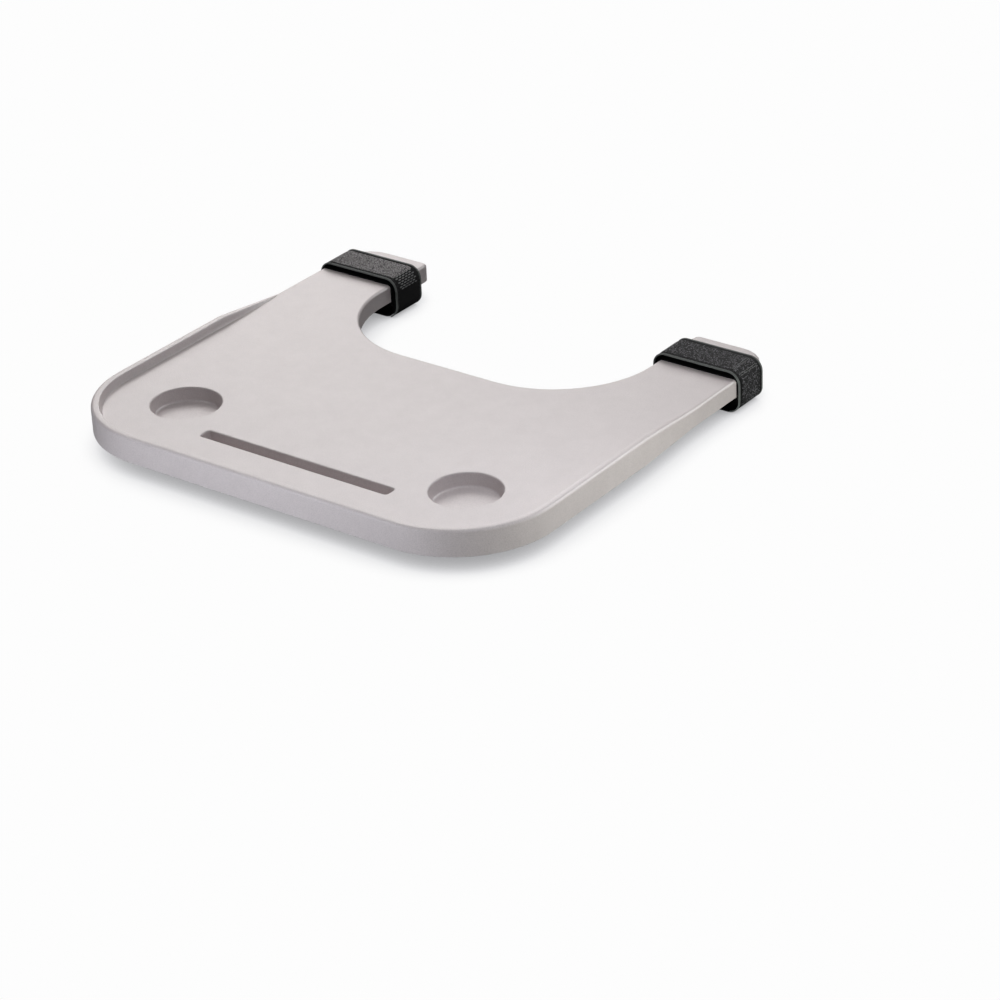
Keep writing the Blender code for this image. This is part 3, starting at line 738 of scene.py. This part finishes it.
def make_strap():
    """Every layer of the right arm's strap, as (piece, body, slot, node that it replaces).

    The fold has no body of its own, and stays where it is made.
    """
    over = flap_points()
    over_length = path_length(over)
    foot = path_length(foot_points())
    fold_start = over_length - 2 * FOLD_REACH
    flap = flat_strip("flap", 0, fold_start - SEAM_GAP, WEB_THICKNESS, WEB_PROFILE)
    fold = flat_strip("fold", fold_start, over_length - SEAM_GAP, WEB_THICKNESS, WEB_PROFILE)
    inner_third = WEB_THICKNESS / 3
    for piece in (flap, fold):
        clad(piece, PILE_PAINTED_SHADED, BINDING, WEAVE)
        paint(piece, WEAVE, lambda middle: middle.x < foot + WOVEN_END or middle.y < inner_third)
        bind_edges(piece)
    thread = binding_seams("flap_thread", fold_start)
    tacks = flap_tacks(foot)
    for piece in (flap, fold, thread, tacks):
        wrap(piece, over)

    under = web_points()
    under_length = path_length(under)
    web = flat_strip("web", SEAM_GAP, under_length, WEB_THICKNESS, WEB_PROFILE)
    clad(web, WEAVE, BINDING, PILE_PAINTED_SHADED)
    paint(web, PILE_PAINTED_SHADED, lambda middle: middle.x < PILE_REACH and middle.y > inner_third)
    bind_edges(web, PILE_REACH)
    seams = binding_seams("web_thread", under_length)
    for piece in (web, seams):
        wrap(piece, under)

    round_arm = wrap_points()
    band = flat_strip("wrap", 0, path_length(round_arm) - SEAM_GAP, WRAP_THICKNESS, WRAP_PROFILE)
    clad(band, WEAVE)
    wrap(band, round_arm)
    return [
        (flap, "flap_body", "strap_web", "flap"),
        (thread, "flap_body", "strap_web", None),
        (tacks, "flap_body", "strap_web", None),
        (fold, None, "strap_web", None),
        (web, "strap_body", "strap_web", "outer_band"),
        (seams, "strap_body", "strap_web", None),
        (band, "strap_body", "strap_web", "inner_band"),
    ]


def tape_seam(start, end):
    """Row of small stitches on a tape, from one point to the other, along Y or Z."""
    length, pitch, width, height = TAPE_STITCH
    start = Vector(start)
    reach = Vector(end) - start
    upright = reach.z > reach.y
    bpy.ops.object.select_all(action="DESELECT")
    bpy.ops.mesh.primitive_uv_sphere_add(segments=8, ring_count=5, radius=0.5)
    piece = bpy.context.object
    piece.scale = (height, width, length) if upright else (height, length, width)
    settle(piece)
    count = int(reach.length / pitch)
    repeat(piece, count, reach.normalized() * pitch)
    piece.location = start + reach.normalized() * (reach.length - (count - 1) * pitch) / 2
    settle(piece)
    clad(piece, SEAM_THREAD)
    return piece


def one_loop():
    """Closed loop of wire that stands half out of its tape."""
    bpy.ops.object.select_all(action="DESELECT")
    bpy.ops.mesh.primitive_torus_add(
        major_radius=LOOP_RADIUS, minor_radius=LOOP_WIRE, major_segments=10, minor_segments=4,
        rotation=(math.pi / 2, 0, LOOP_TURN),
    )
    piece = bpy.context.object
    settle(piece)
    clad(piece, LOOPS)
    return piece


def one_hook():
    """Stem with a flat mushroom head that points along X."""
    bpy.ops.object.select_all(action="DESELECT")
    bpy.ops.mesh.primitive_cylinder_add(
        vertices=6, radius=HOOK_STEM, depth=HOOK_HEIGHT, end_fill_type="NOTHING",
        location=(HOOK_HEIGHT / 2, 0, 0), rotation=(0, math.pi / 2, 0),
    )
    stem = bpy.context.object
    settle(stem)
    bpy.ops.object.select_all(action="DESELECT")
    bpy.ops.mesh.primitive_uv_sphere_add(
        segments=8, ring_count=5, radius=HOOK_HEAD, location=(HOOK_HEIGHT - HOOK_STEM, 0, 0),
    )
    head = bpy.context.object
    head.scale = (HOOK_STEM / HOOK_HEAD, 1, 1)
    settle(head)
    piece = join("hook", [stem, head])
    clad(piece, HOOKS)
    return piece


def make_tape(name, low, high, back, front, unit, pitch):
    """Fastener tape across X from back to front: woven base, stitched border, and its cover."""
    base = add_box(name, (min(front, back), low.y, low.z), (max(front, back), high.y, high.z))
    clad(base, TAPE)
    lay_uv(base, 2, 1)
    half_edge = TAPE_EDGE / 2
    corners = (
        ((low.y, low.z + half_edge), (high.y, low.z + half_edge)),
        ((low.y, high.z - half_edge), (high.y, high.z - half_edge)),
        ((low.y + half_edge, low.z + TAPE_EDGE), (low.y + half_edge, high.z - TAPE_EDGE)),
        ((high.y - half_edge, low.z + TAPE_EDGE), (high.y - half_edge, high.z - TAPE_EDGE)),
    )
    parts = [base]
    parts += [tape_seam((front, *start), (front, *end)) for start, end in corners]
    repeat(unit, 2, (0, pitch / 2, pitch / 2))
    counts = [int((high[axis] - low[axis] - 2 * TAPE_EDGE) / pitch) for axis in (1, 2)]
    repeat(unit, counts[0], (0, pitch, 0))
    repeat(unit, counts[1], (0, 0, pitch))
    unit.location = (
        front,
        (low.y + high.y) / 2 - (counts[0] - 0.5) * pitch / 2,
        (low.z + high.z) / 2 - (counts[1] - 0.5) * pitch / 2,
    )
    settle(unit)
    piece = join(name, parts + [unit])
    smooth(piece, CLOTH_SMOOTH)
    return piece


def make_tapes():
    """Loops on the web and hooks inside the flap, on the side of the cut-out."""
    loop_back, loop_front = WEB_LOW.x + SEAM_GAP, LOOP_LOW.x + LOOP_RADIUS + LOOP_WIRE
    hook_back, hook_front = FLAP_LOW.x + WEB_THICKNESS + SEAM_GAP, HOOK_HIGH.x - HOOK_HEIGHT
    loops = make_tape(
        "loop_tape", LOOP_LOW, LOOP_HIGH, loop_back, loop_front, one_loop(), LOOP_PITCH,
    )
    hooks = make_tape(
        "hook_tape", HOOK_LOW, HOOK_HIGH, hook_back, hook_front, one_hook(), HOOK_PITCH,
    )
    return [
        (loops, "strap_body", "loop_tape", "loop_tape"),
        (hooks, "flap_body", "hook_tape", "hook_tape"),
    ]


def select_edges(piece, test):
    """Selects the edges whose two ends pass the test, and stays in edit mode."""
    activate(piece)
    bpy.ops.object.mode_set(mode="EDIT")
    bpy.ops.mesh.select_mode(type="EDGE")
    bpy.ops.mesh.select_all(action="DESELECT")
    bpy.ops.object.mode_set(mode="OBJECT")
    points = piece.data.vertices
    for edge in piece.data.edges:
        edge.select = test(*(points[index].co for index in edge.vertices))
    bpy.ops.object.mode_set(mode="EDIT")


def make_pad():
    """Moulded rubber pad with half-round ribs across its lower face."""
    plate_z = PAD_LOW.z + PAD_RIB
    pad = add_box("grip_pad", (PAD_LOW.x, PAD_LOW.y, plate_z), PAD_HIGH)
    select_edges(pad, lambda a, b: abs(a.z - b.z) > PAD_RIB)
    bpy.ops.mesh.bevel(offset=PAD_CORNER, segments=8, affect="EDGES")
    select_edges(pad, lambda a, b: max(a.z, b.z) < plate_z + SAME_PLACE)
    bpy.ops.mesh.bevel(offset=PAD_EDGE, segments=3, affect="EDGES")
    bpy.ops.object.mode_set(mode="OBJECT")
    bpy.ops.object.select_all(action="DESELECT")
    bpy.ops.mesh.primitive_cylinder_add(
        vertices=16, radius=PAD_RIB, depth=PAD_HIGH.x - PAD_LOW.x - 2 * PAD_RIB_INSET,
        rotation=(0, math.pi / 2, 0),
    )
    ribs = bpy.context.object
    settle(ribs)
    length = PAD_HIGH.y - PAD_LOW.y
    count = int((length - 2 * PAD_RIB_INSET) / PAD_RIB_PITCH) + 1
    repeat(ribs, count, (0, PAD_RIB_PITCH, 0))
    middle = (PAD_LOW + PAD_HIGH) / 2
    ribs.location = (middle.x, middle.y - (count - 1) * PAD_RIB_PITCH / 2, plate_z)
    settle(ribs)
    pad = join("grip_pad", [pad, ribs])
    clad(pad, RUBBER)
    smooth(pad, RUBBER_SMOOTH)
    return [(pad, "tray_body", "grip_pads", "grip_pad")]


def place_both(made):
    """Names the right arm's pieces, mirrors them to the left arm and binds them to their bodies.

    The left strap gets the copy of the pile that is painted lighter, as painted light.
    """
    for side_name, side in SIDES.items():
        for piece, body, slot, node in made:
            name = side_name + "_" + piece.name + "_visual"
            own = mirrored(piece, name) if side < 0 else piece
            own.name = name
            own.data.name = name
            if body == "tray_body":
                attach(own, body)
            elif body:
                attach(own, side_name + "_" + body)
            else:
                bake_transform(own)
            if node:
                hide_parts(side_name + "_" + node)
            # The left strap's pile is swapped for the copy that is painted lighter, as painted
            # light.
            if side < 0:
                for holder in own.material_slots:
                    if holder.material == PILE_PAINTED_SHADED:
                        holder.material = PILE_PAINTED_LIT


def smooth_copy(node, name, material):
    """Copy of a moulded node with its doubles merged, so that its rounds shade smoothly."""
    source = frame["nodes"][node]
    piece = source.copy()
    piece.data = source.data.copy()
    piece.parent = None
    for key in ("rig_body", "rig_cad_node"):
        del piece[key]
    piece.name = name
    piece.data.name = name
    bpy.context.scene.collection.objects.link(piece)
    activate(piece)
    bpy.ops.object.mode_set(mode="EDIT")
    bpy.ops.mesh.select_all(action="SELECT")
    bpy.ops.mesh.remove_doubles(threshold=MERGE_REACH)
    bpy.ops.object.mode_set(mode="OBJECT")
    smooth(piece, ABS_SMOOTH)
    apply_modifier(piece, "WEIGHTED_NORMAL", keep_sharp=True, weight=100)
    piece.data.materials.clear()
    clad(piece, material)
    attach(piece, "tray_body")
    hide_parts(node)


def dress(node, material):
    """Gives a node of the model its real finish."""
    for holder in frame["nodes"][node].material_slots:
        holder.material = material


def make_floor():
    """Plain white paper that runs out of sight, with a faint painted shadow round the object.

    Its glow is seen by the camera alone, and throws no light on the tray. The shadow is painted
    into the glow where ambient occlusion finds the object near; no lamp casts it.
    """
    bpy.ops.object.select_all(action="DESELECT")
    bpy.ops.mesh.primitive_plane_add(size=FLOOR_SIZE, location=(0, 0, -FLOOR_DROP))
    floor = bpy.context.object
    floor.name = "floor"
    material, tree, shader = new_material("floor_paper", 1.0, Specular_IOR_Level=0.0)
    plug(shader, ("Base Color", (*linear("A4A4A4"), 1)))
    # Painted shadow: ambient occlusion darkens the white glow near the object.
    near = add(tree, "ShaderNodeAmbientOcclusion", [("Distance", PAINTED_SHADOW_REACH)], samples=16)
    shade = add(
        tree, "ShaderNodeValToRGB", [("Fac", near.outputs["AO"])],
        ((0.0, "88888A"), (0.42, "DEDEE0"), (0.72, "FDFDFD")),
    )
    glow = add(tree, "ShaderNodeEmission", [("Color", shade.outputs["Color"])])
    ray = add(tree, "ShaderNodeLightPath").outputs["Is Camera Ray"]
    mixed = add(tree, "ShaderNodeMixShader", [
        (0, ray), (1, shader.outputs["BSDF"]), (2, glow.outputs["Emission"]),
    ])
    plug(tree.nodes["Material Output"], ("Surface", mixed.outputs["Shader"]))
    clad(floor, material)


def make_lights():
    """Faint white surroundings, and the panels."""
    world = bpy.data.worlds.new("studio")
    bpy.context.scene.world = world
    world.use_nodes = True
    background = world.node_tree.nodes["Background"]
    plug(background, ("Color", (1, 1, 1, 1)), ("Strength", WORLD_STRENGTH))

    for name, place, size, watts, colour in LIGHTS:
        lamp = bpy.data.lights.new(name, "AREA")
        lamp.shape = "RECTANGLE"
        lamp.size, lamp.size_y = size
        lamp.energy = watts
        lamp.color = linear(colour)
        light = bpy.data.objects.new(name, lamp)
        light.location = place
        light.visible_camera = False
        light.visible_diffuse = name not in GLEAMS
        light.rotation_euler = (AIM - Vector(place)).to_track_quat("-Z", "Y").to_euler()
        bpy.context.scene.collection.objects.link(light)


def make_camera():
    """Camera at the photograph's place."""
    data = bpy.data.cameras.new("camera")
    data.lens = CAMERA_LENS
    data.sensor_width = CAMERA_SENSOR
    data.clip_start, data.clip_end = CAMERA_CLIP
    camera = bpy.data.objects.new("camera", data)
    back = CAMERA_RIGHT.cross(CAMERA_UP)
    turn = Matrix((CAMERA_RIGHT, CAMERA_UP, back)).transposed().to_4x4()
    camera.matrix_world = Matrix.Translation(CAMERA_PLACE) @ turn
    bpy.context.scene.collection.objects.link(camera)
    bpy.context.scene.camera = camera


make_camera()
make_floor()
make_lights()
smooth_copy("top_shell", "tray_top", ABS)
smooth_copy("bottom_cover", "base_panel", PANEL)
place_both(make_strap() + make_tapes() + make_pad())
for number in range(1, SCREW_COUNT + 1):
    dress(f"screw_{number:02d}", ZINC)

bpy.context.scene.view_settings.view_transform = "Standard"
